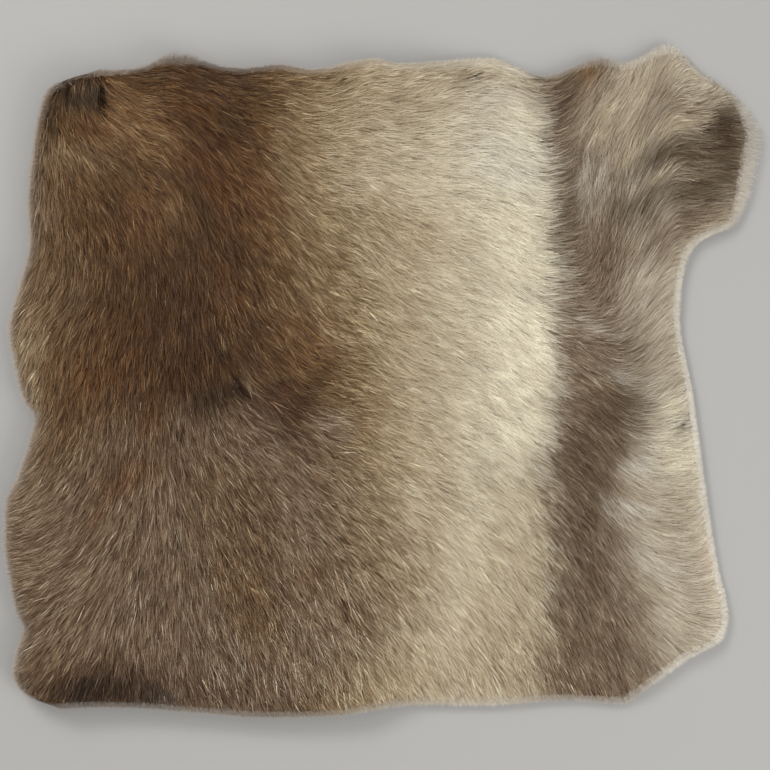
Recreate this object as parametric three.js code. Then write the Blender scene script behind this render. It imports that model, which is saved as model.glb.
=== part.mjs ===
// Folded reindeer hide: one tanned skin with its coat on, doubled once along a soft fold.
//
// The coat is outside on both layers and the flesh sides lie face to face. The upper layer
// shows the back and the right flank with its foreleg lobe. The left flank is turned under
// along the fold, and ends part way across, where the upper layer drapes down to the floor.
//
// Millimetres. X runs from the fold to the belly edge, Y from the cut edge to the shoulder
// edge, Z up. The origin is on the floor, under the middle of the hide.

import * as THREE from 'three';

// Thicknesses, from the floor up.
const UNDER_PILE = 14; // coat of the lower layer, pressed by the weight above
const SKIN = 2.5;
const GAP = 3; // between the two flesh sides
const UPPER_PILE = 20; // coat of the upper layer, standing free

// The fold.
const FOLD_DEPTH = 24; // from the outline to where the layers run straight
const LOOP_SWELL = 2; // how far each layer is pushed out by the loop inside the fold
const LOOP_REACH = 60; // how far from the fold that swelling dies away

// The lower layer.
const UNDER_INSET = 12; // how far its cut edges stay inside those of the upper layer
const DRAPE_CLEARANCE = 8; // the upper layer stays level this far past the free edge
const DRAPE_RUN = 72; // and takes this long to come down to the floor

// Rims: the coat thins towards every cut edge.
const RIM_WIDTH = 18;
const RIM_SHARE = 0.34; // of the full thickness, left at the very edge

// Slow waves in the height of the coat.
const WAVES = [
  { height: 1.3, lengthX: 310, lengthY: 420, phase: 0.6 },
  { height: 0.9, lengthX: -190, lengthY: 240, phase: 2.1 },
  { height: 0.5, lengthX: 120, lengthY: -150, phase: 4.0 },
];

// Outline. Each edge is a smooth curve through its rows.
const FOLD_EDGE = [
  { y: -333, x: -336 },
  { y: -324, x: -350 },
  { y: -312, x: -361 },
  { y: -298, x: -367 },
  { y: -272, x: -363 },
  { y: -250, x: -357 },
  { y: -232, x: -364 },
  { y: -197, x: -371 },
  { y: -156, x: -376 },
  { y: -116, x: -374 },
  { y: -95, x: -364 },
  { y: -54, x: -350 },
  { y: -34, x: -345 },
  { y: -14, x: -356 },
  { y: 27, x: -366 },
  { y: 62, x: -371 },
  { y: 88, x: -366 },
  { y: 109, x: -360 },
  { y: 150, x: -350 },
  { y: 190, x: -352 },
  { y: 250, x: -346 },
  { y: 278, x: -341 },
  { y: 297, x: -335 },
  { y: 308, x: -326 },
  { y: 314, x: -296 },
];

const BELLY_EDGE = [
  { y: -330, x: 250 },
  { y: -318, x: 270 },
  { y: -304, x: 290 },
  { y: -288, x: 312 },
  { y: -279, x: 330 },
  { y: -270, x: 343 },
  { y: -247, x: 350 },
  { y: -222, x: 347 },
  { y: -199, x: 341 },
  { y: -119, x: 328 },
  { y: -19, x: 314 },
  { y: 50, x: 301 },
  { y: 90, x: 304 },
  { y: 129, x: 315 },
  { y: 147, x: 329 },
  { y: 157, x: 345 },
  { y: 168, x: 357 },
  { y: 194, x: 366 },
  { y: 231, x: 372 },
  { y: 263, x: 377 },
  { y: 281, x: 371 },
  { y: 297, x: 361 },
  { y: 308, x: 344 },
  { y: 318, x: 318 },
];

const CUT_EDGE = [
  { x: -345, y: -329 },
  { x: -285, y: -326 },
  { x: -240, y: -327 },
  { x: -200, y: -330 },
  { x: -108, y: -336 },
  { x: -60, y: -335 },
  { x: 40, y: -326 },
  { x: 100, y: -327 },
  { x: 190, y: -321 },
  { x: 240, y: -324 },
  { x: 378, y: -322 },
];

const SHOULDER_EDGE = [
  { x: -340, y: 294 },
  { x: -316, y: 302 },
  { x: -285, y: 309 },
  { x: -245, y: 312 },
  { x: -205, y: 324 },
  { x: -140, y: 312 },
  { x: -100, y: 316 },
  { x: -70, y: 311 },
  { x: -5, y: 322 },
  { x: 20, y: 317 },
  { x: 110, y: 325 },
  { x: 165, y: 307 },
  { x: 225, y: 324 },
  { x: 245, y: 319 },
  { x: 292, y: 336 },
  { x: 325, y: 311 },
  { x: 378, y: 296 },
];

// Free edge of the lower layer, with the other foreleg lobe at the shoulder end.
const UNDER_EDGE = [
  { y: -330, x: -40 },
  { y: -270, x: 2 },
  { y: -150, x: -6 },
  { y: 0, x: -16 },
  { y: 90, x: -8 },
  { y: 190, x: 42 },
  { y: 270, x: 50 },
  { y: 320, x: 20 },
];

// Grid of the sheet: rows from the cut edge to the shoulder edge, and columns from the belly
// edge round the fold to the free edge. Each section of the fold is a function of the share of
// the way along it and of the share of the way between the two cut edges.
const ROWS = 48;
const SECTIONS = [
  { name: 'upper layer', columns: 26, place: upperPoint, shareOfWay: ( t ) => 1 - crowded( t ) },
  { name: 'fold', columns: 6, place: foldPoint, shareOfWay: ( t ) => t },
  { name: 'lower layer', columns: 11, place: lowerPoint, shareOfWay: crowded },
];
const EDGE_CROWDING = 0.72; // 0 spaces rows and columns evenly, 1 crowds them most at edges

const lerp = THREE.MathUtils.lerp;
const smoothstep = THREE.MathUtils.smoothstep;

/** Slope of a table's curve at a row: flat at a turning point, else between its neighbours. */
function slopeAt( table, key, value, row ) {

  const rise = ( i ) =>
    ( table[ i + 1 ][ value ] - table[ i ][ value ] ) / ( table[ i + 1 ][ key ] - table[ i ][ key ] );
  if ( row === 0 ) return rise( 0 );
  if ( row === table.length - 1 ) return rise( row - 1 );
  const before = rise( row - 1 );
  const after = rise( row );
  return before * after > 0 ? 2 * before * after / ( before + after ) : 0;

}

/** The value column of a table where its key column is at, on a smooth curve through its rows. */
function readTable( table, key, value, at ) {

  const last = table.length - 1;
  const place = THREE.MathUtils.clamp( at, table[ 0 ][ key ], table[ last ][ key ] );
  let row = 0;
  while ( row < last - 1 && table[ row + 1 ][ key ] < place ) row ++;
  const from = table[ row ];
  const to = table[ row + 1 ];
  const span = to[ key ] - from[ key ];
  const t = ( place - from[ key ] ) / span;
  const t2 = t * t;
  const t3 = t2 * t;
  return from[ value ] * ( 2 * t3 - 3 * t2 + 1 )
    + to[ value ] * ( 3 * t2 - 2 * t3 )
    + slopeAt( table, key, value, row ) * span * ( t3 - 2 * t2 + t )
    + slopeAt( table, key, value, row + 1 ) * span * ( t3 - t2 );

}

/** Even steps from 0 to 1, crowded towards both ends. */
function crowded( t ) {

  return lerp( t, ( 1 - Math.cos( Math.PI * t ) ) / 2, EDGE_CROWDING );

}

/** The height along Y that a row would have if the cut and shoulder edges were straight. */
function nominalY( v ) {

  return lerp( FOLD_EDGE[ 0 ].y, FOLD_EDGE[ FOLD_EDGE.length - 1 ].y, v );

}

/** Where a row crosses a place along X, between the cut edge and the shoulder edge. */
function rowY( x, v, inset ) {

  const bottom = readTable( CUT_EDGE, 'x', 'y', x ) + inset;
  const top = readTable( SHOULDER_EDGE, 'x', 'y', x ) - inset;
  return lerp( bottom, top, v );

}

/** Share of the full thickness at a distance in from a cut edge, rounded like a quarter ellipse. */
function rimShare( distance ) {

  const inwards = Math.min( distance / RIM_WIDTH, 1 );
  return lerp( RIM_SHARE, 1, Math.sqrt( 1 - ( 1 - inwards ) ** 2 ) );

}

/** Rim share of a row, from its distance to the cut edge and to the shoulder edge. */
function rowShare( x, v ) {

  const length = rowY( x, 1, 0 ) - rowY( x, 0, 0 );
  return rimShare( Math.min( v, 1 - v ) * length );

}

/** Slow waves of the coat's height. */
function wave( x, y ) {

  let height = 0;
  for ( const w of WAVES ) {

    height += w.height * Math.sin( 2 * Math.PI * ( x / w.lengthX + y / w.lengthY ) + w.phase );

  }

  return height;

}

/** Height of the upper flesh side: level over the lower layer, then down to the floor. */
function upperFlesh( x, y ) {

  const start = readTable( UNDER_EDGE, 'y', 'x', y ) + DRAPE_CLEARANCE;
  return ( UNDER_PILE + SKIN + GAP ) * ( 1 - smoothstep( x, start, start + DRAPE_RUN ) );

}

/** How far a layer is pushed out by the loop inside the fold, at a distance from the loop. */
function loopSwell( distance ) {

  return LOOP_SWELL * ( 1 - smoothstep( distance, 0, LOOP_REACH ) );

}

/** A point of the upper layer: its flesh side and its coat, at a share of the way from the fold. */
function upperPoint( u, v ) {

  const y0 = nominalY( v );
  const start = readTable( FOLD_EDGE, 'y', 'x', y0 ) + FOLD_DEPTH;
  const end = readTable( BELLY_EDGE, 'y', 'x', y0 );
  const x = lerp( start, end, u );
  const y = rowY( x, v, 0 );
  const share = rowShare( x, v ) * rimShare( ( 1 - u ) * ( end - start ) );
  const flesh = upperFlesh( x, y ) + loopSwell( x - start );
  const coat = flesh + ( SKIN + UPPER_PILE + wave( x, y ) ) * share;
  return { flesh: [ x, y, flesh ], coat: [ x, y, coat ] };

}

/** A point of the lower layer, at a share of the way from the fold to its free edge. */
function lowerPoint( u, v ) {

  const y0 = nominalY( v );
  const start = readTable( FOLD_EDGE, 'y', 'x', y0 ) + FOLD_DEPTH;
  const end = readTable( UNDER_EDGE, 'y', 'x', y0 );
  const x = lerp( start, end, u );
  const y = rowY( x, v, UNDER_INSET * smoothstep( x - start, 0, LOOP_REACH ) );
  const share = rowShare( x, v ) * rimShare( ( 1 - u ) * ( end - start ) );
  const flesh = UNDER_PILE + SKIN - loopSwell( x - start );
  return { flesh: [ x, y, flesh ], coat: [ x, y, flesh * ( 1 - share ) ] };

}

/** A point round the fold: an inner loop and a rounder outer one, from the top to the bottom. */
function foldPoint( turn, v ) {

  const top = upperPoint( 0, v );
  const bottom = lowerPoint( 0, v );
  const angle = Math.PI * ( 0.5 - turn );
  const out = Math.cos( angle );
  const up = Math.sin( angle );
  const [ x, y ] = top.flesh;
  const loop = ( top.flesh[ 2 ] - bottom.flesh[ 2 ] ) / 2;
  const half = ( top.coat[ 2 ] - bottom.coat[ 2 ] ) / 2;
  const depth = lerp( loop, FOLD_DEPTH, rowShare( x, v ) );
  const flesh = [ x - loop * out, y, top.flesh[ 2 ] - loop * ( 1 - up ) ];
  const coat = [ x - depth * out, y, top.coat[ 2 ] - half * ( 1 - up ) ];
  return { flesh, coat };

}

/** Every column of the sheet: its share of the way along its section, and what places it. */
function sheetColumns() {

  const columns = [];
  for ( const { columns: count, place, shareOfWay } of SECTIONS ) {

    for ( let i = 0; i < count; i ++ ) columns.push( { place, share: shareOfWay( i / count ) } );

  }

  columns.push( { place: lowerPoint, share: 1 } );
  return columns;

}

/** The closed solid: a grid of coat points and one of flesh points, joined round the rim. */
function hideGeometry() {

  const columns = sheetColumns();
  const positions = [];
  for ( const side of [ 'coat', 'flesh' ] ) {

    for ( let row = 0; row <= ROWS; row ++ ) {

      const v = crowded( row / ROWS );
      for ( const { place, share } of columns ) positions.push( ...place( share, v )[ side ] );

    }

  }

  const faces = [];
  const last = columns.length - 1;
  const coat = ( row, column ) => row * columns.length + column;
  const flesh = ( row, column ) => coat( row + ROWS + 1, column );
  const quad = ( a, b, c, d ) => faces.push( a, b, c, a, c, d );

  for ( let row = 0; row < ROWS; row ++ ) {

    const next = row + 1;
    for ( let column = 0; column < last; column ++ ) {

      const side = column + 1;
      quad( coat( row, column ), coat( next, column ), coat( next, side ), coat( row, side ) );
      quad( flesh( row, column ), flesh( row, side ), flesh( next, side ), flesh( next, column ) );

    }

    quad( coat( row, 0 ), flesh( row, 0 ), flesh( next, 0 ), coat( next, 0 ) );
    quad( coat( row, last ), coat( next, last ), flesh( next, last ), flesh( row, last ) );

  }

  for ( let column = 0; column < last; column ++ ) {

    const side = column + 1;
    quad( coat( 0, column ), coat( 0, side ), flesh( 0, side ), flesh( 0, column ) );
    quad( coat( ROWS, column ), flesh( ROWS, column ), flesh( ROWS, side ), coat( ROWS, side ) );

  }

  const geometry = new THREE.BufferGeometry();
  geometry.setAttribute( 'position', new THREE.Float32BufferAttribute( positions, 3 ) );
  geometry.setIndex( faces );
  geometry.computeVertexNormals();
  return geometry;

}

const coatMaterial = new THREE.MeshStandardMaterial( { color: 0x8a7358, roughness: 0.85, metalness: 0 } );

const hide = new THREE.Mesh( hideGeometry(), coatMaterial );
hide.name = 'reindeer_hide';

const group = new THREE.Group();
group.add( hide );

export default group;
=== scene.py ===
"""Folded reindeer hide: a tanned skin with its undercoat and its hair, built round its frame."""

import math

import bpy
import numpy as np
from bpy.props import FloatProperty, FloatVectorProperty, IntProperty, PointerProperty
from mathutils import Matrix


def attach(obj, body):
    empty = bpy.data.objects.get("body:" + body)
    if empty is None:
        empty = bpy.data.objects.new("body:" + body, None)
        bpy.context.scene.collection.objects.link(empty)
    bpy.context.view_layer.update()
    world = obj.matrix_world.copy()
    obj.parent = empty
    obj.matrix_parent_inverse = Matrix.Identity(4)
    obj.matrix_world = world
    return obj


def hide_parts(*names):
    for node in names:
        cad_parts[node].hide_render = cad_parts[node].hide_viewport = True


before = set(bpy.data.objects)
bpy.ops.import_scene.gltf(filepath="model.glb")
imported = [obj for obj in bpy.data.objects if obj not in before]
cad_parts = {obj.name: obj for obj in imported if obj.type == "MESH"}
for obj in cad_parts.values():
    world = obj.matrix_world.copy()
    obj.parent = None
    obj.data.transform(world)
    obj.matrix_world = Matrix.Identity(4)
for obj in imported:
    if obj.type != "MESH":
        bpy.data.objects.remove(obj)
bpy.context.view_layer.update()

bl_info = {
    "name": "Folded Reindeer Hide",
    "version": (1, 0, 0),
    "blender": (4, 5, 0),
    "location": "3D View > Sidebar > Hide",
    # The pale rims are painted rim light.
    "description": "Builds a folded reindeer hide with skin, undercoat, combed hair and pale rims",
    "category": "Add Mesh",
}

NODE = "reindeer_hide"
BODY = "root"
BAKE_MAP = "OFBake"


def table(columns, *rows):
    """Rows of values under named columns, each column read as table.name."""
    return np.rec.fromrecords(rows, names=columns.split())


# Outline, in metres. Each edge is a smooth curve through its rows.
FOLD_EDGE = table(
    "y x",
    (-0.333, -0.336), (-0.324, -0.350), (-0.312, -0.361), (-0.298, -0.367), (-0.272, -0.363),
    (-0.250, -0.357), (-0.232, -0.364), (-0.197, -0.371), (-0.156, -0.376), (-0.116, -0.374),
    (-0.095, -0.364), (-0.054, -0.350), (-0.034, -0.345), (-0.014, -0.356), (0.027, -0.366),
    (0.062, -0.371), (0.088, -0.366), (0.109, -0.360), (0.150, -0.350), (0.190, -0.352),
    (0.250, -0.346), (0.278, -0.341), (0.297, -0.335), (0.308, -0.326), (0.314, -0.296),
)
BELLY_EDGE = table(
    "y x",
    (-0.330, 0.250), (-0.318, 0.270), (-0.304, 0.290), (-0.288, 0.312), (-0.279, 0.330),
    (-0.270, 0.343), (-0.247, 0.350), (-0.222, 0.347), (-0.199, 0.341), (-0.119, 0.328),
    (-0.019, 0.314), (0.050, 0.301), (0.090, 0.304), (0.129, 0.315), (0.147, 0.329),
    (0.157, 0.345), (0.168, 0.357), (0.194, 0.366), (0.231, 0.372), (0.263, 0.377),
    (0.281, 0.371), (0.297, 0.361), (0.308, 0.344), (0.318, 0.318),
)
CUT_EDGE = table(
    "x y",
    (-0.345, -0.329), (-0.285, -0.326), (-0.240, -0.327), (-0.200, -0.330), (-0.108, -0.336),
    (-0.060, -0.335), (0.040, -0.326), (0.100, -0.327), (0.190, -0.321), (0.240, -0.324),
    (0.378, -0.322),
)
SHOULDER_EDGE = table(
    "x y",
    (-0.340, 0.294), (-0.316, 0.302), (-0.285, 0.309), (-0.245, 0.312), (-0.205, 0.324),
    (-0.140, 0.312), (-0.100, 0.316), (-0.070, 0.311), (-0.005, 0.322), (0.020, 0.317),
    (0.110, 0.325), (0.165, 0.307), (0.225, 0.324), (0.245, 0.319), (0.292, 0.336),
    (0.325, 0.311), (0.378, 0.296),
)
UNDER_EDGE = table(
    "y x",
    (-0.330, -0.040), (-0.270, 0.002), (-0.150, -0.006), (0.000, -0.016), (0.090, -0.008),
    (0.190, 0.042), (0.270, 0.050), (0.320, 0.020),
)
LOW_Y = FOLD_EDGE.y[0]
HIGH_Y = FOLD_EDGE.y[-1]
LOWEST = 0.0003  # just above the floor, where the lowest points lie
RIDGE_X = -0.190  # the middle of the back
MIRROR_FROM = -0.355  # the coat past the fold copies the other flank from here
MIRROR_FULL = -0.440  # and is wholly that flank's from here

# Slow waves in the height of the coat, and layers of noise in it.
WAVES = table(
    "height along_x along_y phase",
    (0.0013, 0.310, 0.420, 0.6), (0.0009, -0.190, 0.240, 2.1), (0.0005, 0.120, -0.150, 4.0),
)
LUMPS = table("height grain seed", (0.0010, 0.045, 11), (0.0006, 0.018, 12))

# Layers of noise that fray the colours' places along w and along y.
FRAYED_W = table("height grain seed", (0.006, 0.022, 21), (0.003, 0.008, 22))
FRAYED_Y = table("height grain seed", (0.008, 0.030, 23), (0.003, 0.008, 24))

# Where the coat dips.
DIPS = table(
    "x y length width turn depth",
    (-0.137, -0.010, 0.012, 0.008, 80, 0.0030),
    (-0.105, -0.020, 0.030, 0.010, 0, 0.0022),
    (0.186, 0.190, 0.090, 0.012, 90, 0.0028),
    (0.205, -0.020, 0.120, 0.022, 90, 0.0022),
    (0.095, 0.302, 0.012, 0.008, 50, 0.0030),
)

# Where the coat parts down to its roots; the hair and wool there are darkened with painted shade.
PARTINGS = table(
    "x y length width turn",
    (-0.277, 0.281, 0.018, 0.0021, 90),
    (-0.138, -0.010, 0.008, 0.0019, 80),
    (0.095, 0.306, 0.010, 0.0014, 50),
    (0.304, -0.043, 0.007, 0.0012, 60),
)

# Where the hair is longer, and by how much.
LONGER = table(
    "x y length width turn more",
    (0.290, 0.220, 0.090, 0.080, 0, 0.45),
    (0.250, -0.100, 0.120, 0.050, 90, 0.10),
)

# Where the fringe stands out farther, and by how much.
WISPS = table(
    "x y length width turn more",
    (-0.205, 0.324, 0.018, 0.020, 0, 0.008),
    (0.378, 0.225, 0.075, 0.030, 90, 0.012),
    (0.300, 0.336, 0.040, 0.030, 0, 0.005),
    (0.225, 0.324, 0.022, 0.020, 0, 0.004),
    (0.310, -0.300, 0.060, 0.030, 30, 0.007),
)

# The strips of hair, each from low to high along the unrolled hide: how close the roots stand, in
# how many straight stretches a hair is laid, its length and width, the share of the coat's height
# at its root, its middle and its tip, the share of hairs with a light tip, and how much the hairs
# differ.
STRIPS = table(
    "name low high spacing stretches length width root middle tip light uneven",
    ("under_flank_coat", -0.800, -0.423, 0.0021, 1, 0.021, 0.0018, 0.40, 0.85, 1.00, 0.30, 1.0),
    ("fold_coat", -0.423, -0.350, 0.0016, 2, 0.021, 0.0012, 0.60, 0.95, 1.05, 0.30, 1.0),
    ("back_coat", -0.350, -0.180, 0.0018, 2, 0.021, 0.0012, 0.42, 0.80, 0.95, 0.10, 0.9),
    ("ridge_coat", -0.180, -0.010, 0.0018, 2, 0.021, 0.0012, 0.42, 0.80, 0.95, 0.10, 1.2),
    ("side_coat", -0.010, 0.170, 0.0018, 2, 0.021, 0.0012, 0.42, 0.80, 0.95, 0.10, 1.1),
    ("flank_coat", 0.170, 0.235, 0.0017, 3, 0.024, 0.0010, 0.42, 0.80, 0.95, 0.15, 1.15),
    ("belly_coat", 0.235, 0.400, 0.0017, 3, 0.028, 0.0009, 0.42, 0.82, 0.95, 0.25, 0.45),
    ("back_top_hair", -0.395, -0.180, 0.0017, 1, 0.020, 0.0009, 0.72, 0.95, 1.10, 0.55, 1.3),
    ("ridge_top_hair", -0.180, -0.010, 0.0017, 1, 0.020, 0.0009, 0.72, 0.95, 1.10, 0.55, 1.6),
    ("side_top_hair", -0.010, 0.170, 0.0017, 1, 0.020, 0.0009, 0.72, 0.95, 1.10, 0.55, 1.3),
    ("flank_top_hair", 0.170, 0.400, 0.0016, 1, 0.020, 0.0007, 0.72, 0.95, 1.10, 0.50, 0.95),
)

# The hairs that stand out round the edges: to which side of the edge, how closely they follow one
# another along it, how deep in their roots lie, their length and width, how far out they may end,
# how far they follow the lie of the coat, the share of the coat's height at their tip, how far
# their roots have the coat's colour, and the shares of the edge where they start and end.
FRINGES = table(
    "name side spacing depth length width beyond lie tip blend start end",
    ("cut_fringe", 1, 0.000095, 0.006, 0.008, 0.00045, 0.0040, 0.6, 1.00, 0.4, 0.00, 1.00),
    ("shoulder_fringe", -1, 0.000085, 0.006, 0.008, 0.00045, 0.0040, 0.6, 1.00, 0.4, 0.00, 1.00),
    ("belly_fringe", 1, 0.000055, 0.006, 0.008, 0.00042, 0.0040, 0.6, 1.00, 0.4, 0.00, 1.00),
    ("free_fringe", -1, 0.000220, 0.008, 0.009, 0.00060, 0.0030, 0.5, 1.00, 0.6, 0.00, 1.00),
    ("fold_fringe", -1, 0.000060, 0.012, 0.008, 0.00042, 0.0100, 0.4, 1.28, 0.9, 0.01, 0.97),
)

# The lie of the hair: at each height y, pairs of (x, direction in degrees), 0 towards +X.
LIE = (
    (0.300, table(
        "x degrees",
        (-0.32, -85), (-0.285, -80), (-0.27, -30), (-0.23, -20), (-0.18, -8), (-0.08, -2),
        (-0.03, 10), (0.04, 14), (0.10, 6), (0.16, 0), (0.175, 12), (0.19, 42), (0.22, 60),
        (0.26, 66), (0.31, 50), (0.34, 40),
    )),
    (0.250, table(
        "x degrees",
        (-0.33, -74), (-0.30, -62), (-0.27, -42), (-0.22, -40), (-0.17, -42), (-0.12, -32),
        (-0.05, -12), (0.02, -4), (0.10, -8), (0.168, -4), (0.178, 20), (0.195, 55), (0.24, 60),
        (0.27, 46), (0.30, 28), (0.33, 10), (0.37, -5),
    )),
    (0.200, table(
        "x degrees",
        (-0.335, -80), (-0.30, -65), (-0.25, -56), (-0.19, -61), (-0.14, -50), (-0.08, -35),
        (-0.02, -25), (0.05, -18), (0.12, -14), (0.172, -4), (0.183, 15), (0.194, 82), (0.24, 82),
        (0.265, 58), (0.29, 35), (0.32, 12), (0.365, -6),
    )),
    (0.140, table(
        "x degrees",
        (-0.34, -90), (-0.29, -76), (-0.23, -68), (-0.19, -74), (-0.14, -61), (-0.08, -45),
        (-0.02, -34), (0.05, -27), (0.12, -20), (0.175, -6), (0.186, -4), (0.196, 62), (0.206, 86),
        (0.234, 82), (0.260, 56), (0.31, 36),
    )),
    (0.080, table(
        "x degrees",
        (-0.35, -125), (-0.32, -128), (-0.29, -115), (-0.25, -98), (-0.19, -86), (-0.14, -62),
        (-0.08, -45), (-0.02, -34), (0.05, -29), (0.12, -24), (0.175, -16), (0.197, -13),
        (0.210, 55), (0.228, 72), (0.256, 52), (0.276, 40), (0.305, 30),
    )),
    (0.030, table(
        "x degrees",
        (-0.36, -110), (-0.32, -105), (-0.27, -97), (-0.21, -93), (-0.175, -80), (-0.145, -62),
        (-0.11, -44), (-0.06, -33), (0.00, -27), (0.07, -28), (0.14, -27), (0.18, -34),
        (0.208, -36), (0.226, -14), (0.239, 22), (0.256, 38), (0.28, 34), (0.31, 36),
    )),
    (-0.020, table(
        "x degrees",
        (-0.35, -105), (-0.29, -100), (-0.23, -93), (-0.185, -80), (-0.155, -60), (-0.125, -36),
        (-0.09, -27), (-0.04, -23), (0.02, -26), (0.08, -28), (0.16, -32), (0.20, -42),
        (0.235, -33), (0.255, -10), (0.275, 35), (0.31, 52),
    )),
    (-0.070, table(
        "x degrees",
        (-0.34, -130), (-0.29, -108), (-0.23, -90), (-0.195, -70), (-0.16, -52), (-0.12, -45),
        (-0.07, -39), (-0.02, -30), (0.06, -29), (0.13, -31), (0.18, -42), (0.22, -48),
        (0.26, -30), (0.28, 10), (0.31, 42),
    )),
    (-0.120, table(
        "x degrees",
        (-0.37, -165), (-0.34, -150), (-0.30, -132), (-0.25, -106), (-0.205, -78), (-0.165, -60),
        (-0.12, -53), (-0.07, -47), (-0.03, -40), (0.04, -34), (0.11, -35), (0.17, -45),
        (0.22, -56), (0.26, -30), (0.282, 6), (0.30, 34), (0.33, 52),
    )),
    (-0.180, table(
        "x degrees",
        (-0.37, -175), (-0.33, -162), (-0.29, -140), (-0.25, -108), (-0.22, -93), (-0.18, -74),
        (-0.12, -62), (-0.05, -55), (0.02, -45), (0.10, -44), (0.17, -54), (0.22, -60),
        (0.26, -42), (0.28, -18), (0.30, 16), (0.32, 46), (0.34, 58),
    )),
    (-0.240, table(
        "x degrees",
        (-0.36, -150), (-0.32, -130), (-0.27, -108), (-0.22, -88), (-0.16, -72), (-0.08, -66),
        (-0.01, -56), (0.07, -50), (0.14, -55), (0.20, -62), (0.25, -58), (0.285, -42),
        (0.305, -18), (0.32, -6), (0.35, 0),
    )),
    (-0.310, table(
        "x degrees",
        (-0.36, -140), (-0.33, -122), (-0.28, -100), (-0.23, -78), (-0.18, -70), (-0.10, -68),
        (-0.02, -62), (0.07, -60), (0.16, -66), (0.23, -68), (0.28, -50), (0.32, -20),
    )),
)

# The bands of the coat from the fold to the belly: colour, then rows of (y, x) down its middle.
BANDS = (
    ("margin", table(
        "y x",
        (0.30, -0.345), (0.08, -0.362), (-0.04, -0.352), (-0.17, -0.370), (-0.32, -0.358),
    )),
    ("brown", table(
        "y x",
        (0.30, -0.325), (0.08, -0.335), (-0.04, -0.325), (-0.17, -0.325), (-0.32, -0.325),
    )),
    ("ridge", table(
        "y x",
        (0.30, -0.175), (0.10, -0.225), (-0.02, -0.240), (-0.15, -0.190), (-0.32, -0.180),
    )),
    ("ridge", table(
        "y x",
        (0.30, -0.125), (0.22, -0.145), (0.10, -0.145), (-0.02, -0.090), (-0.15, -0.060),
        (-0.32, -0.110),
    )),
    ("brown", table(
        "y x",
        (0.30, -0.100), (0.20, -0.120), (0.15, -0.110), (0.05, -0.075), (-0.04, -0.050),
        (-0.20, -0.060), (-0.32, -0.070),
    )),
    ("tan", table(
        "y x",
        (0.30, -0.065), (0.20, -0.065), (0.15, -0.048), (0.05, -0.018), (-0.04, -0.004),
        (-0.20, -0.015), (-0.32, -0.025),
    )),
    ("cream", table(
        "y x",
        (0.30, 0.000), (0.20, 0.000), (0.15, 0.050), (0.00, 0.050), (-0.20, 0.045), (-0.32, 0.045),
    )),
    ("pale_cream", table(
        "y x",
        (0.30, 0.120), (0.24, 0.140), (0.15, 0.145), (0.00, 0.140), (-0.08, 0.120), (-0.20, 0.110),
        (-0.32, 0.100),
    )),
    ("pale_cream", table(
        "y x",
        (0.30, 0.145), (0.24, 0.162), (0.15, 0.172), (0.05, 0.166), (-0.03, 0.163), (-0.07, 0.151),
        (-0.12, 0.138), (-0.20, 0.128), (-0.26, 0.112), (-0.32, 0.112),
    )),
    ("stripe", table(
        "y x",
        (0.30, 0.165), (0.24, 0.180), (0.15, 0.192), (0.08, 0.199), (0.03, 0.191), (-0.02, 0.193),
        (-0.06, 0.183), (-0.12, 0.176), (-0.20, 0.172), (-0.26, 0.160), (-0.32, 0.160),
    )),
    ("stripe", table(
        "y x",
        (0.30, 0.225), (0.15, 0.232), (0.05, 0.228), (-0.04, 0.236), (-0.12, 0.226),
        (-0.20, 0.222), (-0.32, 0.255),
    )),
    ("belly", table(
        "y x",
        (0.30, 0.250), (0.15, 0.258), (0.05, 0.264), (-0.04, 0.275), (-0.12, 0.275),
        (-0.20, 0.275), (-0.32, 0.305),
    )),
)

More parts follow.
